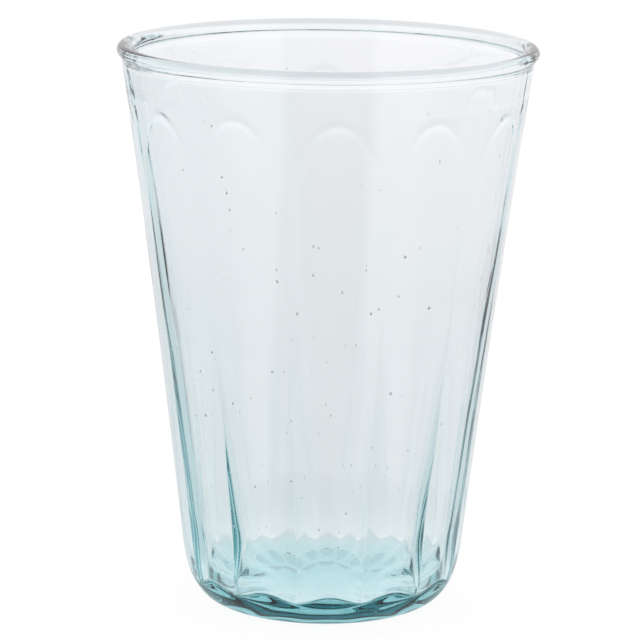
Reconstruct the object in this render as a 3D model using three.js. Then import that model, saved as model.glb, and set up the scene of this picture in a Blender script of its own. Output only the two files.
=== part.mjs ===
import * as THREE from 'three';

// Water glass of pale aqua recycled glass: a smooth tapered outside, flutes with arched tops pressed
// into the inside, a thick rounded foot and a rolled lip. Sizes are in millimetres, +Z is up, the
// glass stands on z = 0 and -Y is its front.

// Height and lip.
const HEIGHT = 122;
const RIM_RADIUS = 45;
const LIP_HEIGHT = 2.6;
const LIP_OVERHANG = 1;

// Outside of the wall: its radius where the taper would meet the table, and how far it bows in.
const WALL_FOOT_RADIUS = 28.9;
const WALL_BOW = 1.85;

// Heel: the rounding from the wall into the flat foot.
const HEEL_HEIGHT = 15.2;
const HEEL_INSET = 9.9;
const HEEL_FULLNESS = 2.6;

// Inside: thickness of the wall on the ridges, thickness of the floor and the corner between them.
const WALL_AT_FLOOR = 3.1;
const WALL_AT_LIP = 2.5;
const FLOOR_THICKNESS = 5;
const FLOOR_CORNER = 5;

// Flutes: shallow grooves up the inside, each ending in an arch under a plain collar.
const FLUTE_COUNT = 12;
const FLUTE_DEPTH = 1;
const FLUTE_TURN_DEG = 2.3;
const ARCH_BELOW_RIM = 12.5;
const ARCH_RISE = 8;
const ARCH_MARGIN = 1;

// How finely the round shapes are cut.
const STEPS_PER_FLUTE = 6;
const HEEL_STEPS = 9;
const WALL_STEPS = 8;
const CORNER_STEPS = 5;
const ARCH_STEPS = 6;
const LIP_STEPS = 8;

// Sizes that follow from those above.
const LIP_BOTTOM = HEIGHT - LIP_HEIGHT;
const WALL_TOP_RADIUS = RIM_RADIUS - LIP_OVERHANG;
const LIP_TUBE = LIP_HEIGHT / 2;
const ARCH_APEX = HEIGHT - ARCH_BELOW_RIM;
const ARCH_SPRING = ARCH_APEX - ARCH_RISE;
const COLLAR_BOTTOM = ARCH_APEX + ARCH_MARGIN;
const CORNER_TOP = FLOOR_THICKNESS + FLOOR_CORNER;
const SEGMENTS = FLUTE_COUNT * STEPS_PER_FLUTE;
const FLUTE_TURN = THREE.MathUtils.degToRad(FLUTE_TURN_DEG);

// Radius of the tapered wall's outside, carried on down to the table.
function taperRadius(z) {
  const s = z / LIP_BOTTOM;
  const straight = WALL_FOOT_RADIUS + (WALL_TOP_RADIUS - WALL_FOOT_RADIUS) * s;
  return straight - WALL_BOW * s * (1 - s);
}

// Outside radius, with the heel rounded in at the bottom.
function outerRadius(z) {
  const below = Math.max(0, 1 - z / HEEL_HEIGHT);
  const round = Math.pow(1 - Math.pow(below, HEEL_FULLNESS), 1 / HEEL_FULLNESS);
  return taperRadius(z) - HEEL_INSET * (1 - round);
}

// Inside radius on the ridges between flutes, with the corner rounded into the floor.
function ridgeRadius(z) {
  const s = (z - FLOOR_THICKNESS) / (LIP_BOTTOM - FLOOR_THICKNESS);
  const wall = THREE.MathUtils.lerp(WALL_AT_FLOOR, WALL_AT_LIP, s);
  const below = Math.max(0, CORNER_TOP - z) / FLOOR_CORNER;
  const corner = FLOOR_CORNER * (1 - Math.sqrt(Math.max(0, 1 - below * below)));
  return taperRadius(z) - wall - corner;
}

// How far a flute is pressed into the wall at an angle from the front and a height: deepest along its
// middle, nothing on the ridges, and rounded off to an arch at its top.
function fluteDepth(angle, z) {
  const pitch = (2 * Math.PI) / FLUTE_COUNT;
  const turns = (angle - FLUTE_TURN) / pitch;
  const across = 2 * (turns - Math.round(turns));
  const along = Math.max(0, z - ARCH_SPRING) / ARCH_RISE;
  return FLUTE_DEPTH * Math.max(0, 1 - across * across - along * along);
}

// Heights from low to high, both ends included, spread by a number from 0 to 1 for each step.
function heights(low, high, steps, spread) {
  const list = [];
  for (let i = 0; i <= steps; i++) {
    list.push(low + (high - low) * spread(i / steps));
  }
  return list;
}

const even = (t) => t;
const tightAtStart = (t) => 1 - Math.cos((t * Math.PI) / 2);
const tightAtEnd = (t) => Math.sin((t * Math.PI) / 2);

// Every height at which the outside has a ring, so that zones which meet share their rings.
const OUTSIDE_HEIGHTS = [
  ...heights(0, HEEL_HEIGHT, HEEL_STEPS, tightAtStart),
  ...heights(HEEL_HEIGHT, LIP_BOTTOM, WALL_STEPS, even).slice(1),
];

// The outside of the glass between two heights, going up.
function outside(low, high) {
  const between = OUTSIDE_HEIGHTS.filter((z) => z > low + 0.05 && z < high - 0.05);
  return [low, ...between, high].map((z) => new THREE.Vector2(outerRadius(z), z));
}

// A ring or disc turned about the glass's axis from an outline of radius and height.
function turned(outline) {
  const geometry = new THREE.LatheGeometry(outline, SEGMENTS, FLUTE_TURN);
  geometry.rotateX(Math.PI / 2);
  return geometry;
}

function glass(color, opacity) {
  return new THREE.MeshStandardMaterial({
    color,
    opacity,
    transparent: true,
    roughness: 0.04,
    metalness: 0,
  });
}

// Base: the solid foot under the floor, with the lower part of the heel.
function makeBase() {
  const outline = [
    new THREE.Vector2(0, 0),
    ...outside(0, FLOOR_THICKNESS),
    new THREE.Vector2(0, FLOOR_THICKNESS),
  ];
  const mesh = new THREE.Mesh(turned(outline), glass(0x9fd6dc, 0.55));
  mesh.name = 'base';
  return mesh;
}

// Fluted wall: from the floor to just over the arches, with the flutes pressed into its inside.
function makeFlutedWall() {
  const outer = outside(FLOOR_THICKNESS, COLLAR_BOTTOM);
  const inner = [
    ...heights(FLOOR_THICKNESS, CORNER_TOP, CORNER_STEPS, tightAtStart),
    ...heights(CORNER_TOP, ARCH_SPRING, WALL_STEPS, even).slice(1),
    ...heights(ARCH_SPRING, ARCH_APEX, ARCH_STEPS, tightAtEnd).slice(1),
    COLLAR_BOTTOM,
  ].map((z) => new THREE.Vector2(ridgeRadius(z), z));
  const outline = [...outer, ...inner.reverse(), outer[0].clone()];
  const geometry = turned(outline);
  const position = geometry.getAttribute('position');
  for (let i = 0; i < position.count; i++) {
    const row = i % outline.length;
    if (row >= outer.length && row < outline.length - 1) {
      const x = position.getX(i);
      const y = position.getY(i);
      const z = position.getZ(i);
      const grow = 1 + fluteDepth(Math.atan2(x, -y), z) / Math.hypot(x, y);
      position.setXYZ(i, x * grow, y * grow, z);
    }
  }
  geometry.computeVertexNormals();
  const mesh = new THREE.Mesh(geometry, glass(0xdce8ea, 0.35));
  mesh.name = 'fluted_wall';
  return mesh;
}

// Collar: the plain band between the arches and the lip.
function makeCollar() {
  const outer = outside(COLLAR_BOTTOM, LIP_BOTTOM);
  const inner = heights(LIP_BOTTOM, COLLAR_BOTTOM, 2, even).map((z) => {
    return new THREE.Vector2(ridgeRadius(z), z);
  });
  const outline = [...outer, ...inner, outer[0].clone()];
  const mesh = new THREE.Mesh(turned(outline), glass(0xe2eaec, 0.35));
  mesh.name = 'collar';
  return mesh;
}

// Lip: a fire-polished roll that stands out over the wall and rounds over into the inside.
function makeLip() {
  const middle = RIM_RADIUS - LIP_TUBE;
  const inside = ridgeRadius(LIP_BOTTOM);
  const start = -Math.acos((WALL_TOP_RADIUS - middle) / LIP_TUBE);
  const outline = [new THREE.Vector2(WALL_TOP_RADIUS, LIP_BOTTOM)];
  for (let i = 1; i <= LIP_STEPS; i++) {
    const angle = THREE.MathUtils.lerp(start, Math.PI / 2, i / LIP_STEPS);
    const z = HEIGHT - LIP_TUBE + LIP_TUBE * Math.sin(angle);
    outline.push(new THREE.Vector2(middle + LIP_TUBE * Math.cos(angle), z));
  }
  for (let i = 1; i <= LIP_STEPS; i++) {
    const angle = (i / LIP_STEPS) * (Math.PI / 2);
    const radius = middle - (middle - inside) * Math.sin(angle);
    outline.push(new THREE.Vector2(radius, LIP_BOTTOM + LIP_HEIGHT * Math.cos(angle)));
  }
  outline.push(outline[0].clone());
  const mesh = new THREE.Mesh(turned(outline), glass(0xcfdcdc, 0.45));
  mesh.name = 'lip';
  return mesh;
}

const part = new THREE.Group();
part.name = 'water_glass';
part.add(makeBase());
part.add(makeFlutedWall());
part.add(makeCollar());
part.add(makeLip());

export default part;
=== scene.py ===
import math

import bmesh
import bpy
import numpy as np
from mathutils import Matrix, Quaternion, Vector


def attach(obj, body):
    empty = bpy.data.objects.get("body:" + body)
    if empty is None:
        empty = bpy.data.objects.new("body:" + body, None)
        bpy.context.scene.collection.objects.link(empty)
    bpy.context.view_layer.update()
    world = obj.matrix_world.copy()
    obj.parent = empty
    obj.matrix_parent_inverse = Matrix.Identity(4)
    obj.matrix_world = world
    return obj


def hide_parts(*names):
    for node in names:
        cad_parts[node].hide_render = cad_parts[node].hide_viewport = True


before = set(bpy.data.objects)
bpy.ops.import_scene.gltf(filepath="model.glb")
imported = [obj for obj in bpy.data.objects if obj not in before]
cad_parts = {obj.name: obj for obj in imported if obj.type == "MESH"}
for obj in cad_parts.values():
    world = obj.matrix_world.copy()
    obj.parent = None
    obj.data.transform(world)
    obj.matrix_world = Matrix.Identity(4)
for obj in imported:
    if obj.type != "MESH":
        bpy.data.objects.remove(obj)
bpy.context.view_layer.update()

# A tumbler of pale aqua pressed glass on a plain white floor. The glass is one closed mesh, with a smooth
# outside, a rolled lip and arched flutes on the inside that run down to a shallow bowl of a floor. Its
# lengths are in millimetres. Heights are above the table, and bearings are degrees round the axis from
# the front, which is -Y.
MM = 1e-3

# Outside: the profile of the solid part, with a slightly fuller heel. The foot is hollow by PUNT.
HEIGHT = 122.0
RIM_RADIUS = 45.0
LIP_HEIGHT = 2.6
LIP_OVERHANG = 1.0
WALL_FOOT_RADIUS = 28.9
WALL_BOW = 1.85
HEEL_HEIGHT = 15.2
HEEL_INSET = 9.9
HEEL_FULLNESS = 2.8
PUNT = 0.02

# Wall: its thickness between the flutes at a few heights, eased over WALL_EASE up and down.
WALL_HEIGHTS = (5.0, 22.0, 45.0, 80.0, 119.4)
WALL_THICKNESS = (3.8, 3.9, 3.2, 2.2, 1.9)
WALL_EASE = 6.0
WALL_EASE_STEPS = 13

# Inside of the lip: a bead that is round until it has turned back to the wall.
BEAD_INNER_RADIUS = 41.65
BEAD_HALF_HEIGHT = 1.5
BEAD_WRAP_DEG = 125.0

# Floor: flat in the middle, then a bowl that rises to its edge, and further in the flutes than between
# them. A fillet joins it to the wall.
FLOOR_THICKNESS = 5.0
BOWL_RADIUS = 8.0
BOWL_EDGE_RADIUS = 27.0
BOWL_SLOPE_DEG = 3.5
BOWL_SOFTNESS = 4.0
BOWL_RISE = 1.3
BOWL_RISE_POWER = 2.0
FLUTE_FILLET = 1.6
RIDGE_FILLET = 0.7

# Flutes: their depth at a few heights. They end in tall arches, sunk by ARCH_DEPTH at once and by the rest
# over ARCH_RUN, with a fine raised edge that is strongest at the top of the arch.
FLUTE_COUNT = 12
FLUTE_HEIGHTS = (8.0, 20.0, 35.0, 60.0, 95.0)
FLUTE_DEPTHS = (0.7, 1.5, 1.0, 0.35, 0.18)
FLUTE_TURN_DEG = 2.3
ARCH_APEX = 109.8
ARCH_RISE = 26.0
ARCH_DEPTH = 0.2
ARCH_RUN = 30.0
ARCH_EDGE_HEIGHT = 0.14
ARCH_EDGE_WIDTH = 0.9
ARCH_EDGE_OUTSET = 0.4
ARCH_EDGE_FADE = 8.0

# How unevenly it was pressed: the inside is off centre, the flutes wander sideways in two waves and the
# arches end at different heights. A wave is millimetres of height per radian, waves round the glass, phase
# and strength.
CAVITY_SHIFT = (0.5, 0.0)
WANDER_DEG = 0.35
WANDER_WAVES = ((9.0, 3, 0.0, 1.0), (4.3, 5, 1.0, 0.7))
APEX_SCATTER = 0.7
APEX_PHASE_STEP = 2.4
APEX_PHASE = 0.6

# Gas seeds: bearing, height and radius of the plain ones, then the ranges that the many small ones in the
# wall and the foot are drawn from. A seed's depth is its share of the way from the inside to the outside,
# and a higher WALL_SEED_LOWNESS puts more of them low down.
PLAIN_SEEDS = (
    (25.2, 82.7, 0.3), (35.8, 71.1, 0.3), (-47.6, 45.9, 0.28), (-17.9, 57.8, 0.24), (23.8, 53.1, 0.28),
    (-41.6, 60.4, 0.26), (-12.0, 34.0, 0.22), (9.0, 27.0, 0.2), (-30.0, 92.0, 0.2), (44.0, 30.0, 0.25),
)
PLAIN_SEED_DEPTH = 0.5
PLAIN_SEED_STRETCH = 1.2
WALL_SEEDS = 150
WALL_SEED_HEIGHTS = (16.0, 112.0)
WALL_SEED_LOWNESS = 1.4
WALL_SEED_DEPTHS = (0.4, 0.6)
WALL_SEED_RADII = (0.1, 0.24)
WALL_SEED_STRETCH = 1.6
FOOT_SEEDS = 40
FOOT_SEED_REACH = 22.0
FOOT_SEED_HEIGHTS = (1.2, 4.0)
FOOT_SEED_RADII = (0.08, 0.22)
SEED_WALL_SHARE = 0.3
SEED_SPACING = 1.2
SEED_DRAW = 11

# Glass: clear, with its colour in its depth, and a faint upright ripple on the wall above the heel.
ABSORB_COLOR = (0.12, 0.66, 0.7, 1)
ABSORB_DENSITY = 30.0
GLASS_IOR = 1.52
RIPPLE_WIDTH = 5.0
RIPPLE_LENGTH = 45.0
RIPPLE_HEIGHT = 0.1
RIPPLE_START = 10.0
RIPPLE_FULL = 30.0

# Studio: tones of the backdrop by the sine of a ray's elevation, and what light that was thrown back inside
# the glass is worth by the cosine of its bearing from the front.
ROOM_TINT = (1.01, 0.985, 1.005, 1)
TABLE_TONE = 0.8
FAR_TABLE_TONE = 0.885
HORIZON_TONE = 1.0
TOP_TONE = 0.85
BACKDROP_STOPS = (
    (-1.0, TABLE_TONE), (-0.3, TABLE_TONE), (-0.2, FAR_TABLE_TONE),
    (-0.08, HORIZON_TONE), (0.3, HORIZON_TONE), (0.9, TOP_TONE),
)
FRONT_TONE = 0.62
PANEL_TONE = 1.07
SIDE_TONE = 1.0
BEARING_STOPS = (
    (-1.0, SIDE_TONE), (0.45, SIDE_TONE), (0.53, PANEL_TONE),
    (0.86, PANEL_TONE), (0.9, FRONT_TONE), (1.0, FRONT_TONE),
)
LEAST_LEVEL = 0.0001

# The world counts one bounce more than the light has made, so this parts light that came straight through
# the glass from light that was thrown back at least once.
STRAIGHT_BOUNCES = 1.5

# Floor: white, with a share of matt for the shadow. Through the glass it shows painted shade, a cyan glow
# that stands in for the tinted shade that the foot casts, and is full out to the shade radius.
FLOOR_HALF_WIDTH = 2000.0
FLOOR_GAP = 0.2
FLOOR_GLOW = 1.03
SHADOW_SHARE = 0.1
PAINTED_SHADE_COLOR = (0.55, 0.82, 0.87, 1)
PAINTED_SHADE_RADIUS = 17.0
PAINTED_SHADE_FALL = 1.5

# Camera, in metres and in pixels of a square image. The roll is in radians.
CAMERA_EYE = (0, -0.765, 0.2228)
CAMERA_AIM = (0, 0, 0.0619)
CAMERA_ROLL = -0.0127
IMAGE_PIXELS = 640
FOCAL_PIXELS = 3616.5
SHIFT_PIXELS = -4.86
SENSOR_WIDTH = 36

# How finely the mesh is cut. The rings lie close from ARCH_FINE_ABOVE the arches to ARCH_FINE_BELOW.
COLUMNS_PER_FLUTE = 36
FOOT_RINGS = 10
HEEL_RINGS = 36
WALL_RINGS = 58
LIP_RINGS = 20
BEAD_RINGS = 21
COLLAR_RINGS = 5
ARCH_RINGS = 63
ARCH_FINE_ABOVE = 3.0
ARCH_FINE_BELOW = 13.0
FLUTE_RINGS = 63
FILLET_RINGS = 25
BOWL_RINGS = 23
UNEVEN_AFTER_RINGS = 30
SEED_SUBDIVISIONS = 2
SEED_NEAR_COLUMNS = 3
WELD = 1e-4

# Steps by which the corner between the wall and the bowl is found.
CORNER_ROUNDS = 14
CORNER_GUESS = 2.0
WALL_STEP = 2.0
BOWL_STEP = 1.0

# Bounces of light, enough to get out of the heel.
GLASS_BOUNCES = 64
GLOSSY_BOUNCES = 16

LIP_BOTTOM = HEIGHT - LIP_HEIGHT
LIP_TUBE = LIP_HEIGHT / 2
LIP_MIDDLE = RIM_RADIUS - LIP_TUBE
WALL_TOP_RADIUS = RIM_RADIUS - LIP_OVERHANG
ARCH_FOOT = ARCH_APEX - ARCH_FINE_BELOW

# Columns of the mesh round the glass: how far each is across its flute, from -1 to 1, and how far the arch
# of that flute is shifted up.
COLUMNS = FLUTE_COUNT * COLUMNS_PER_FLUTE
COLUMN = np.arange(COLUMNS)
ONES = np.ones(COLUMNS)
ACROSS = (COLUMN / COLUMNS_PER_FLUTE + 0.5) % 1.0 * 2 - 1
FLUTE_NUMBER = np.floor(COLUMN / COLUMNS_PER_FLUTE + 0.5).astype(int) % FLUTE_COUNT
APEX_SHIFT = APEX_SCATTER * np.sin(APEX_PHASE_STEP * FLUTE_NUMBER + APEX_PHASE)


def smoothstep(t):
    t = np.clip(t, 0, 1)
    return t * t * (3 - 2 * t)


def between(limits, share):
    low, high = limits
    return low + (high - low) * share


def taper_radius(z):
    """Outside radius of the tapered wall, carried on down to the table."""
    s = z / LIP_BOTTOM
    return between((WALL_FOOT_RADIUS, WALL_TOP_RADIUS), s) - WALL_BOW * s * (1 - s)


def outer_radius(z):
    """Outside radius with the heel rounded in."""
    below = np.clip(1 - z / HEEL_HEIGHT, 0, 1)
    rounded = (1 - below**HEEL_FULLNESS) ** (1 / HEEL_FULLNESS)
    return taper_radius(z) - HEEL_INSET * (1 - rounded)


def wall_thickness(z):
    """Thickness of the wall between the flutes, on a curve with no kinks."""
    total = np.zeros_like(z)
    for step in np.linspace(-WALL_EASE, WALL_EASE, WALL_EASE_STEPS):
        total += np.interp(z + step, WALL_HEIGHTS, WALL_THICKNESS)
    return total / WALL_EASE_STEPS


def flute_relief(z):
    """How far each column is sunk below the ridges at height z. It is less than 0 on the raised edge."""
    apex = ARCH_APEX + APEX_SHIFT
    along = np.clip((z - apex + ARCH_RISE) / ARCH_RISE, 0, None)
    from_middle = np.hypot(ACROSS, along)
    hollow = np.clip(1 - from_middle**2, 0, 1)
    depth = np.interp(z, FLUTE_HEIGHTS, FLUTE_DEPTHS) - ARCH_DEPTH
    sunk = hollow * (ARCH_DEPTH + depth * smoothstep((apex - z) / ARCH_RUN))
    off_edge = ((1 - from_middle) * ARCH_RISE + ARCH_EDGE_OUTSET) / ARCH_EDGE_WIDTH
    upright = np.sin(np.arctan2(along, np.abs(ACROSS)))
    return sunk - ARCH_EDGE_HEIGHT * np.exp(-off_edge**2) * upright**ARCH_EDGE_FADE


def cavity_radius(z):
    return taper_radius(z) - wall_thickness(z) + flute_relief(z)


def floor_height(r):
    """Height of the floor at radius r in each column."""
    past = r - BOWL_RADIUS
    ramp = (past + np.hypot(past, BOWL_SOFTNESS)) / 2
    in_flute = (1 + np.cos(math.pi * ACROSS)) / 2
    share = np.clip(past / (BOWL_EDGE_RADIUS - BOWL_RADIUS), 0, None)
    rise = BOWL_RISE * in_flute * share**BOWL_RISE_POWER
    return FLOOR_THICKNESS + ramp * math.tan(math.radians(BOWL_SLOPE_DEG)) + rise


def outside_rows():
    """Radius and height of the rings from the middle of the foot up to the top of the lip."""
    rows = []
    foot_radius = WALL_FOOT_RADIUS - HEEL_INSET
    for share in np.linspace(0, 1, FOOT_RINGS + 1)[:-1]:
        rows.append((foot_radius * share, PUNT * (1 - share * share)))
    turn = np.linspace(0, math.pi / 2, HEEL_RINGS)
    heel = HEEL_HEIGHT * (1 - np.cos(turn) ** (2 / HEEL_FULLNESS))
    wall = np.linspace(HEEL_HEIGHT, LIP_BOTTOM, WALL_RINGS + 2)[1:-1]
    for z in np.concatenate([heel, wall]):
        rows.append((outer_radius(z), z))
    start = -math.acos((WALL_TOP_RADIUS - LIP_MIDDLE) / LIP_TUBE)
    for angle in np.linspace(start, math.pi / 2, LIP_RINGS):
        r = LIP_MIDDLE + LIP_TUBE * math.cos(angle)
        rows.append((r, HEIGHT - LIP_TUBE + LIP_TUBE * math.sin(angle)))
    return rows


def floor_fillet():
    """Start, corner and end of the arc from the wall into the bowl, and the corner's weight in that arc."""
    corner_z = (FLOOR_THICKNESS + CORNER_GUESS) * ONES
    for _ in range(CORNER_ROUNDS):
        corner_z = floor_height(cavity_radius(corner_z))
    corner_r = cavity_radius(corner_z)
    lean = (cavity_radius(corner_z + WALL_STEP) - corner_r) / WALL_STEP
    slope = (floor_height(corner_r) - floor_height(corner_r - BOWL_STEP)) / BOWL_STEP
    up_wall = np.stack([lean, ONES]) / np.hypot(lean, 1)
    into_bowl = np.stack([-ONES, -slope]) / np.hypot(1, slope)
    bend = np.arccos(np.clip((up_wall * into_bowl).sum(0), -1, 1))
    fillet = between((RIDGE_FILLET, FLUTE_FILLET), 1 - ACROSS**2)
    reach = fillet / np.tan(bend / 2)
    start_z = corner_z + up_wall[1] * reach
    end_r = corner_r + into_bowl[0] * reach
    start = np.stack([cavity_radius(start_z), start_z])
    end = np.stack([end_r, floor_height(end_r)])
    return start, np.stack([corner_r, corner_z]), end, np.sin(bend / 2)


def inside_rows():
    """Radius and height of the rings from the top of the lip down to the middle of the floor."""
    rows = []
    for angle in np.radians(np.linspace(0, BEAD_WRAP_DEG, BEAD_RINGS + 1)[1:]):
        r = LIP_MIDDLE - (LIP_MIDDLE - BEAD_INNER_RADIUS) * math.sin(angle)
        z = HEIGHT - BEAD_HALF_HEIGHT + BEAD_HALF_HEIGHT * math.cos(angle)
        rows.append((r, z))
    arch_top = ARCH_APEX + ARCH_FINE_ABOVE
    collar = np.linspace(z, arch_top, COLLAR_RINGS + 1)[1:]
    arches = np.linspace(arch_top, ARCH_FOOT, ARCH_RINGS + 1)[1:]
    for z in np.concatenate([collar, arches]):
        rows.append((cavity_radius(z * ONES), z))

    start, corner, end, weight = floor_fillet()
    for share in np.linspace(0, 1, FLUTE_RINGS + 1)[1:]:
        z = between((ARCH_FOOT, start[1]), share)
        rows.append((cavity_radius(z), z))
    for t in np.linspace(0, 1, FILLET_RINGS + 1)[1:]:
        a = (1 - t) ** 2
        b = 2 * t * (1 - t) * weight
        c = t * t
        rows.append((a * start + b * corner + c * end) / (a + b + c))
    for share in np.linspace(1, 0, BOWL_RINGS + 1)[1:]:
        rows.append((end[0] * share, floor_height(end[0] * share)))
    return rows


def glass_skin():
    """Points and faces of the whole surface of the glass."""
    outside = outside_rows()
    inside = inside_rows()
    radii = np.array([r * ONES for r, _ in outside + inside])
    heights = np.array([z * ONES for _, z in outside + inside])

    # The outside is even, and the inside becomes uneven as it leaves the lip.
    uneven = np.zeros((len(radii), 1))
    uneven[len(outside):, 0] = smoothstep(np.arange(len(inside)) / UNEVEN_AFTER_RINGS)
    bearing = COLUMN * 2 * math.pi / COLUMNS
    wander = 0
    for length, count, phase, strength in WANDER_WAVES:
        wander = wander + strength * np.sin(heights / length + count * bearing + phase)
    turn = bearing + math.radians(FLUTE_TURN_DEG) + math.radians(WANDER_DEG) * wander * uneven
    x = radii * np.sin(turn) + CAVITY_SHIFT[0] * uneven
    y = -radii * np.cos(turn) + CAVITY_SHIFT[1] * uneven
    points = np.stack([x, y, heights], -1).reshape(-1, 3)

    index = np.arange(radii.size).reshape(radii.shape)
    low = index[:-1]
    high = index[1:]
    quads = np.stack([low, np.roll(low, -1, 1), np.roll(high, -1, 1), high], -1).reshape(-1, 4)
    work = bmesh.new()
    corners = [work.verts.new(point) for point in points]
    for quad in quads.tolist():
        work.faces.new([corners[corner] for corner in quad])
    bmesh.ops.remove_doubles(work, verts=work.verts, dist=WELD)
    bmesh.ops.recalc_face_normals(work, faces=work.faces)
    work.verts.index_update()
    points = [tuple(vertex.co) for vertex in work.verts]
    faces = [[vertex.index for vertex in face.verts] for face in work.faces]
    work.free()
    return points, faces


def seed_places():
    """Middle, radius and upright stretch of each seed, all well inside the glass and apart."""
    chance = np.random.default_rng(SEED_DRAW)
    shift = math.hypot(*CAVITY_SHIFT)
    places = []

    def place(bearing, z, depth, radius, stretch):
        column = round((bearing - FLUTE_TURN_DEG) / 360 * COLUMNS)
        near = np.arange(column - SEED_NEAR_COLUMNS, column + SEED_NEAR_COLUMNS + 1) % COLUMNS
        inside = cavity_radius(z * ONES)[near].max() + shift
        outside = outer_radius(z) - shift
        r = between((inside, outside), depth)
        turn = math.radians(bearing)
        middle = np.array([r * math.sin(turn), -r * math.cos(turn), z])
        places.append((middle, min(radius, SEED_WALL_SHARE * (outside - inside)), stretch))

    for bearing, z, radius in PLAIN_SEEDS:
        place(bearing, z, PLAIN_SEED_DEPTH, radius, PLAIN_SEED_STRETCH)
    for _ in range(WALL_SEEDS):
        z = between(WALL_SEED_HEIGHTS, chance.random() ** WALL_SEED_LOWNESS)
        bearing = 360 * chance.random()
        depth = between(WALL_SEED_DEPTHS, chance.random())
        place(bearing, z, depth, between(WALL_SEED_RADII, chance.random() ** 2), WALL_SEED_STRETCH)
    for _ in range(FOOT_SEEDS):
        turn = 2 * math.pi * chance.random()
        r = FOOT_SEED_REACH * math.sqrt(chance.random())
        z = between(FOOT_SEED_HEIGHTS, chance.random())
        middle = np.array([r * math.sin(turn), -r * math.cos(turn), z])
        places.append((middle, between(FOOT_SEED_RADII, chance.random() ** 2), 1.0))
    apart = []
    for middle, radius, stretch in places:
        if all(np.linalg.norm(middle - other) > SEED_SPACING for other, _, _ in apart):
            apart.append((middle, radius, stretch))
    return apart


def build_glass():
    points, faces = glass_skin()

    # Each seed is a small closed void whose faces look into it.
    ball = bmesh.new()
    bmesh.ops.create_icosphere(ball, subdivisions=SEED_SUBDIVISIONS, radius=1)
    ball.verts.index_update()
    ball_points = np.array([vertex.co for vertex in ball.verts])
    ball_faces = [[vertex.index for vertex in reversed(face.verts)] for face in ball.faces]
    ball.free()
    for middle, radius, stretch in seed_places():
        start = len(points)
        points.extend(map(tuple, middle + ball_points * radius * np.array([1, 1, stretch])))
        faces.extend([start + corner for corner in face] for face in ball_faces)

    mesh = bpy.data.meshes.new("glass")
    mesh.from_pydata(np.array(points) * MM, [], faces)
    mesh.polygons.foreach_set("use_smooth", [True] * len(mesh.polygons))
    mesh.materials.append(glass_material())
    glass = bpy.data.objects.new("glass", mesh)
    bpy.context.scene.collection.objects.link(glass)
    return glass


def empty_tree(owner):
    """The node tree of a material or a world, with nothing in it."""
    owner.use_nodes = True
    owner.node_tree.nodes.clear()
    return owner.node_tree


def fed_node(tree, kind, *sources):
    """A node of the kind, whose first inputs are set to the numbers or linked to the sockets given."""
    node = tree.nodes.new(kind)
    for socket, source in zip(node.inputs, sources):
        if isinstance(source, bpy.types.NodeSocket):
            tree.links.new(source, socket)
        else:
            socket.default_value = source
    return node


def math_node(tree, operation, *sources):
    node = fed_node(tree, "ShaderNodeMath", *sources)
    node.operation = operation
    return node.outputs["Value"]


def mix_shaders(tree, share, first, second):
    return fed_node(tree, "ShaderNodeMixShader", share, first, second).outputs["Shader"]


def wall_ripple(tree):
    """Normals of a faint upright ripple that swells above the heel."""
    place = tree.nodes.new("ShaderNodeTexCoord").outputs["Object"]
    stretch = fed_node(tree, "ShaderNodeMapping", place)
    sizes = (RIPPLE_WIDTH, RIPPLE_WIDTH, RIPPLE_LENGTH)
    stretch.inputs["Scale"].default_value = [1 / (size * MM) for size in sizes]
    waves = fed_node(tree, "ShaderNodeTexNoise", stretch.outputs["Vector"])
    waves.inputs["Scale"].default_value = 1.0
    waves.inputs["Detail"].default_value = 1.0
    height = fed_node(tree, "ShaderNodeSeparateXYZ", place).outputs["Z"]
    swell = fed_node(tree, "ShaderNodeMapRange", height, RIPPLE_START * MM, RIPPLE_FULL * MM)
    swell.interpolation_type = "SMOOTHSTEP"
    bump = tree.nodes.new("ShaderNodeBump")
    bump.inputs["Strength"].default_value = 1.0
    bump.inputs["Distance"].default_value = RIPPLE_HEIGHT * MM
    relief = math_node(tree, "MULTIPLY", waves.outputs["Fac"], swell.outputs["Result"])
    tree.links.new(relief, bump.inputs["Height"])
    return bump.outputs["Normal"]


def glass_material():
    material = bpy.data.materials.new("aqua_glass")
    tree = empty_tree(material)
    surface = tree.nodes.new("ShaderNodeBsdfPrincipled")
    surface.inputs["Base Color"].default_value = (1, 1, 1, 1)
    surface.inputs["Transmission Weight"].default_value = 1.0
    surface.inputs["Roughness"].default_value = 0.0
    surface.inputs["IOR"].default_value = GLASS_IOR
    tree.links.new(wall_ripple(tree), surface.inputs["Normal"])
    depth = tree.nodes.new("ShaderNodeVolumeAbsorption")
    depth.inputs["Color"].default_value = ABSORB_COLOR
    depth.inputs["Density"].default_value = ABSORB_DENSITY
    fed_node(tree, "ShaderNodeOutputMaterial", surface.outputs["BSDF"], depth.outputs["Volume"])
    return material


def tone_ramp(tree, source, stops):
    """Grey tones over a source that runs from -1 to 1."""
    node = fed_node(tree, "ShaderNodeValToRGB", math_node(tree, "MULTIPLY_ADD", source, 0.5, 0.5))
    node.color_ramp.interpolation = "EASE"
    points = node.color_ramp.elements
    while len(points) < len(stops):
        points.new(0.5)
    for point, (place, tone) in zip(points, stops):
        point.position = place / 2 + 0.5
        point.color = (tone, tone, tone, 1)
    return node.outputs["Color"]


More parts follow.
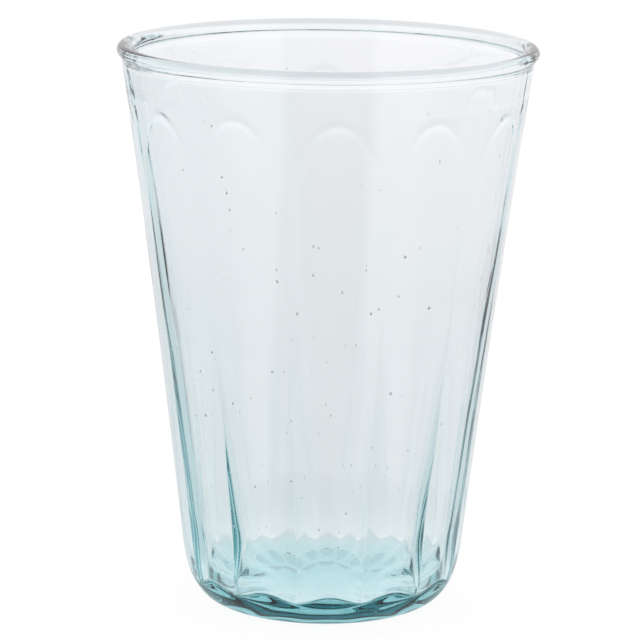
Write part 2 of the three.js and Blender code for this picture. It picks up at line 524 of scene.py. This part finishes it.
def build_world():
    """A plain white backdrop for the camera. The glass shows a soft studio in its place, and light that was
    thrown back inside the glass also depends on the side of the studio that it came from."""
    world = bpy.data.worlds.new("studio")
    bpy.context.scene.world = world
    tree = empty_tree(world)
    direction = tree.nodes.new("ShaderNodeTexCoord").outputs["Generated"]
    split = fed_node(tree, "ShaderNodeSeparateXYZ", direction)
    path = tree.nodes.new("ShaderNodeLightPath")

    backdrop = tone_ramp(tree, split.outputs["Z"], BACKDROP_STOPS)
    steepness = math_node(tree, "MULTIPLY", split.outputs["Z"], split.outputs["Z"])
    level = math_node(tree, "MAXIMUM", math_node(tree, "SUBTRACT", 1.0, steepness), LEAST_LEVEL)
    forward = math_node(tree, "MULTIPLY", split.outputs["Y"], -1.0)
    facing = math_node(tree, "DIVIDE", forward, math_node(tree, "SQRT", level))
    thrown = math_node(tree, "MULTIPLY", backdrop, tone_ramp(tree, facing, BEARING_STOPS))
    bounces = math_node(tree, "SUBTRACT", path.outputs["Ray Depth"], path.outputs["Transmission Depth"])
    straight = math_node(tree, "LESS_THAN", bounces, STRAIGHT_BOUNCES)
    tone = fed_node(tree, "ShaderNodeMix", straight)
    tone.data_type = "FLOAT"
    tree.links.new(thrown, tone.inputs["A"])
    tree.links.new(backdrop, tone.inputs["B"])

    room = fed_node(tree, "ShaderNodeBackground", ROOM_TINT, tone.outputs["Result"])
    seen = fed_node(tree, "ShaderNodeBackground", (1, 1, 1, 1), 1.0)
    light = mix_shaders(tree, path.outputs["Is Camera Ray"], room.outputs[0], seen.outputs[0])
    fed_node(tree, "ShaderNodeOutputWorld", light)


def floor_material():
    """White for the camera, with a soft shadow. Through the glass it carries painted shade, a glow that
    stands in for the tint that the foot casts, and further out the studio takes its place."""
    material = bpy.data.materials.new("white_floor")
    tree = empty_tree(material)
    path = tree.nodes.new("ShaderNodeLightPath")
    place = tree.nodes.new("ShaderNodeNewGeometry").outputs["Position"]
    flat = fed_node(tree, "ShaderNodeVectorMath", place, (1, 1, 0))
    flat.operation = "MULTIPLY"
    reach = fed_node(tree, "ShaderNodeVectorMath", flat.outputs["Vector"])
    reach.operation = "LENGTH"
    near = math_node(tree, "DIVIDE", PAINTED_SHADE_RADIUS * MM, reach.outputs["Value"])
    near.node.use_clamp = True
    # Painted shade: a cyan glow on the floor, seen only through the glass, in place of the foot's tinted
    # shadow.
    painted_shade = fed_node(tree, "ShaderNodeEmission", PAINTED_SHADE_COLOR)
    clear = tree.nodes.new("ShaderNodeBsdfTransparent")
    painted_shade_share = math_node(tree, "POWER", near, PAINTED_SHADE_FALL)
    through = mix_shaders(tree, painted_shade_share, clear.outputs["BSDF"], painted_shade.outputs["Emission"])
    glow = fed_node(tree, "ShaderNodeEmission", (1, 1, 1, 1), FLOOR_GLOW)
    matt = fed_node(tree, "ShaderNodeBsdfDiffuse", (1, 1, 1, 1))
    white = mix_shaders(tree, SHADOW_SHARE, glow.outputs["Emission"], matt.outputs["BSDF"])
    surface = mix_shaders(tree, path.outputs["Is Camera Ray"], through, white)
    fed_node(tree, "ShaderNodeOutputMaterial", surface)
    return material


def build_floor():
    far = FLOOR_HALF_WIDTH * MM
    z = -FLOOR_GAP * MM
    mesh = bpy.data.meshes.new("floor")
    mesh.from_pydata([(-far, -far, z), (far, -far, z), (far, far, z), (-far, far, z)], [], [(0, 1, 2, 3)])
    mesh.materials.append(floor_material())
    floor = bpy.data.objects.new("floor", mesh)
    bpy.context.scene.collection.objects.link(floor)
    return floor


def build_camera():
    data = bpy.data.cameras.new("camera")
    camera = bpy.data.objects.new("camera", data)
    bpy.context.scene.collection.objects.link(camera)
    bpy.context.scene.camera = camera
    eye = Vector(CAMERA_EYE)
    look = Vector(CAMERA_AIM) - eye
    camera.location = eye
    camera.rotation_mode = "QUATERNION"
    camera.rotation_quaternion = Quaternion(look.normalized(), CAMERA_ROLL) @ look.to_track_quat("-Z", "Y")
    data.sensor_width = SENSOR_WIDTH
    data.lens = FOCAL_PIXELS / IMAGE_PIXELS * SENSOR_WIDTH
    data.shift_x = SHIFT_PIXELS / IMAGE_PIXELS


scene = bpy.context.scene
scene.view_settings.view_transform = "Standard"
scene.cycles.max_bounces = GLASS_BOUNCES
scene.cycles.transmission_bounces = GLASS_BOUNCES
scene.cycles.glossy_bounces = GLOSSY_BOUNCES
build_world()
build_camera()
build_floor()
glass = build_glass()
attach(glass, "root")
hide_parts("base", "fluted_wall", "collar", "lip")
